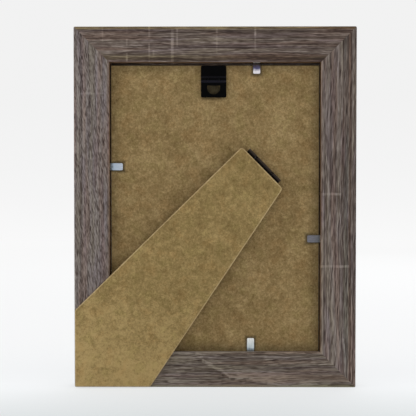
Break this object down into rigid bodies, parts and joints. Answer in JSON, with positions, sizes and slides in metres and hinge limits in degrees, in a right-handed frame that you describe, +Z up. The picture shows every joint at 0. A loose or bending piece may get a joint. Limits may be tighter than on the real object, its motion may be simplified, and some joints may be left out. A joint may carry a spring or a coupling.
{
  "type": "easel back photo frame",
  "caption": "Wood-effect photo frame for a standard print, with a fold-out diagonal strut for portrait or landscape, bendable tabs and a flip hanger on its back.",
  "frame": {"origin": "on the surface that the bottom rail stands on, at the middle of the width and of the depth with the strut folded", "axes": "+Z up in portrait use, +Y out of the back, -Y out of the glass, +X to the left as seen from the back"},
  "size_m": [0.179, 0.0188, 0.229],
  "materials": {
    "wood_wrap": "printed wood-grain foil, satin",
    "hardboard": "raw hardboard, matt",
    "clear_glass": "clear float glass",
    "print_paper": "satin photo paper",
    "black_metal": "black stoved paint, semi-gloss",
    "zinc_steel": "bright zinc plate",
    "nail_steel": "plain steel"
  },
  "bodies": {
    "frame_body": {"rail_top": "wood_wrap", "rail_bottom": "wood_wrap", "rail_left": "wood_wrap", "rail_right": "wood_wrap", "corner_nails": "nail_steel", "glass_pane": "clear_glass", "photo_print": "print_paper", "backing_board": "hardboard", "hinge_board_leaf": "black_metal", "hinge_pin": "nail_steel", "hanger_plate": "black_metal", "hanger_pin": "nail_steel", "tab_roots": "zinc_steel"},
    "strut_body": {"easel_strut": "hardboard", "hinge_strut_leaf": "black_metal"},
    "flap_body": {"hanger_flap": "black_metal"},
    "top_tab_body": {"tab_top": "zinc_steel"},
    "bottom_tab_body": {"tab_bottom": "zinc_steel"},
    "left_tab_body": {"tab_left": "zinc_steel"},
    "right_tab_body": {"tab_right": "zinc_steel"}
  },
  "joints": [
    {"name": "strut_fold", "type": "hinge", "parent": "frame_body", "child": "strut_body", "pos_m": [-0.03061, 0.0044, 0.1405], "axis": [0.6997, 0, 0.7145], "range_deg": [0, 38]},
    {"name": "hanger_flip", "type": "hinge", "parent": "frame_body", "child": "flap_body", "pos_m": [0.0009, 0.0038, 0.1959], "axis": [1, 0, 0], "range_deg": [-4, 162]},
    {"name": "tab_top_bend", "type": "hinge", "parent": "frame_body", "child": "top_tab_body", "pos_m": [-0.0264, 0.00275, 0.2059], "axis": [1, 0, 0], "range_deg": [0, 90]},
    {"name": "tab_bottom_bend", "type": "hinge", "parent": "frame_body", "child": "bottom_tab_body", "pos_m": [-0.0227, 0.00275, 0.0231], "axis": [-1, 0, 0], "range_deg": [0, 90]},
    {"name": "tab_left_bend", "type": "hinge", "parent": "frame_body", "child": "left_tab_body", "pos_m": [0.0664, 0.00275, 0.1404], "axis": [0, 0, -1], "range_deg": [0, 90]},
    {"name": "tab_right_bend", "type": "hinge", "parent": "frame_body", "child": "right_tab_body", "pos_m": [-0.0664, 0.00275, 0.0945], "axis": [0, 0, 1], "range_deg": [0, 90]}
  ]
}
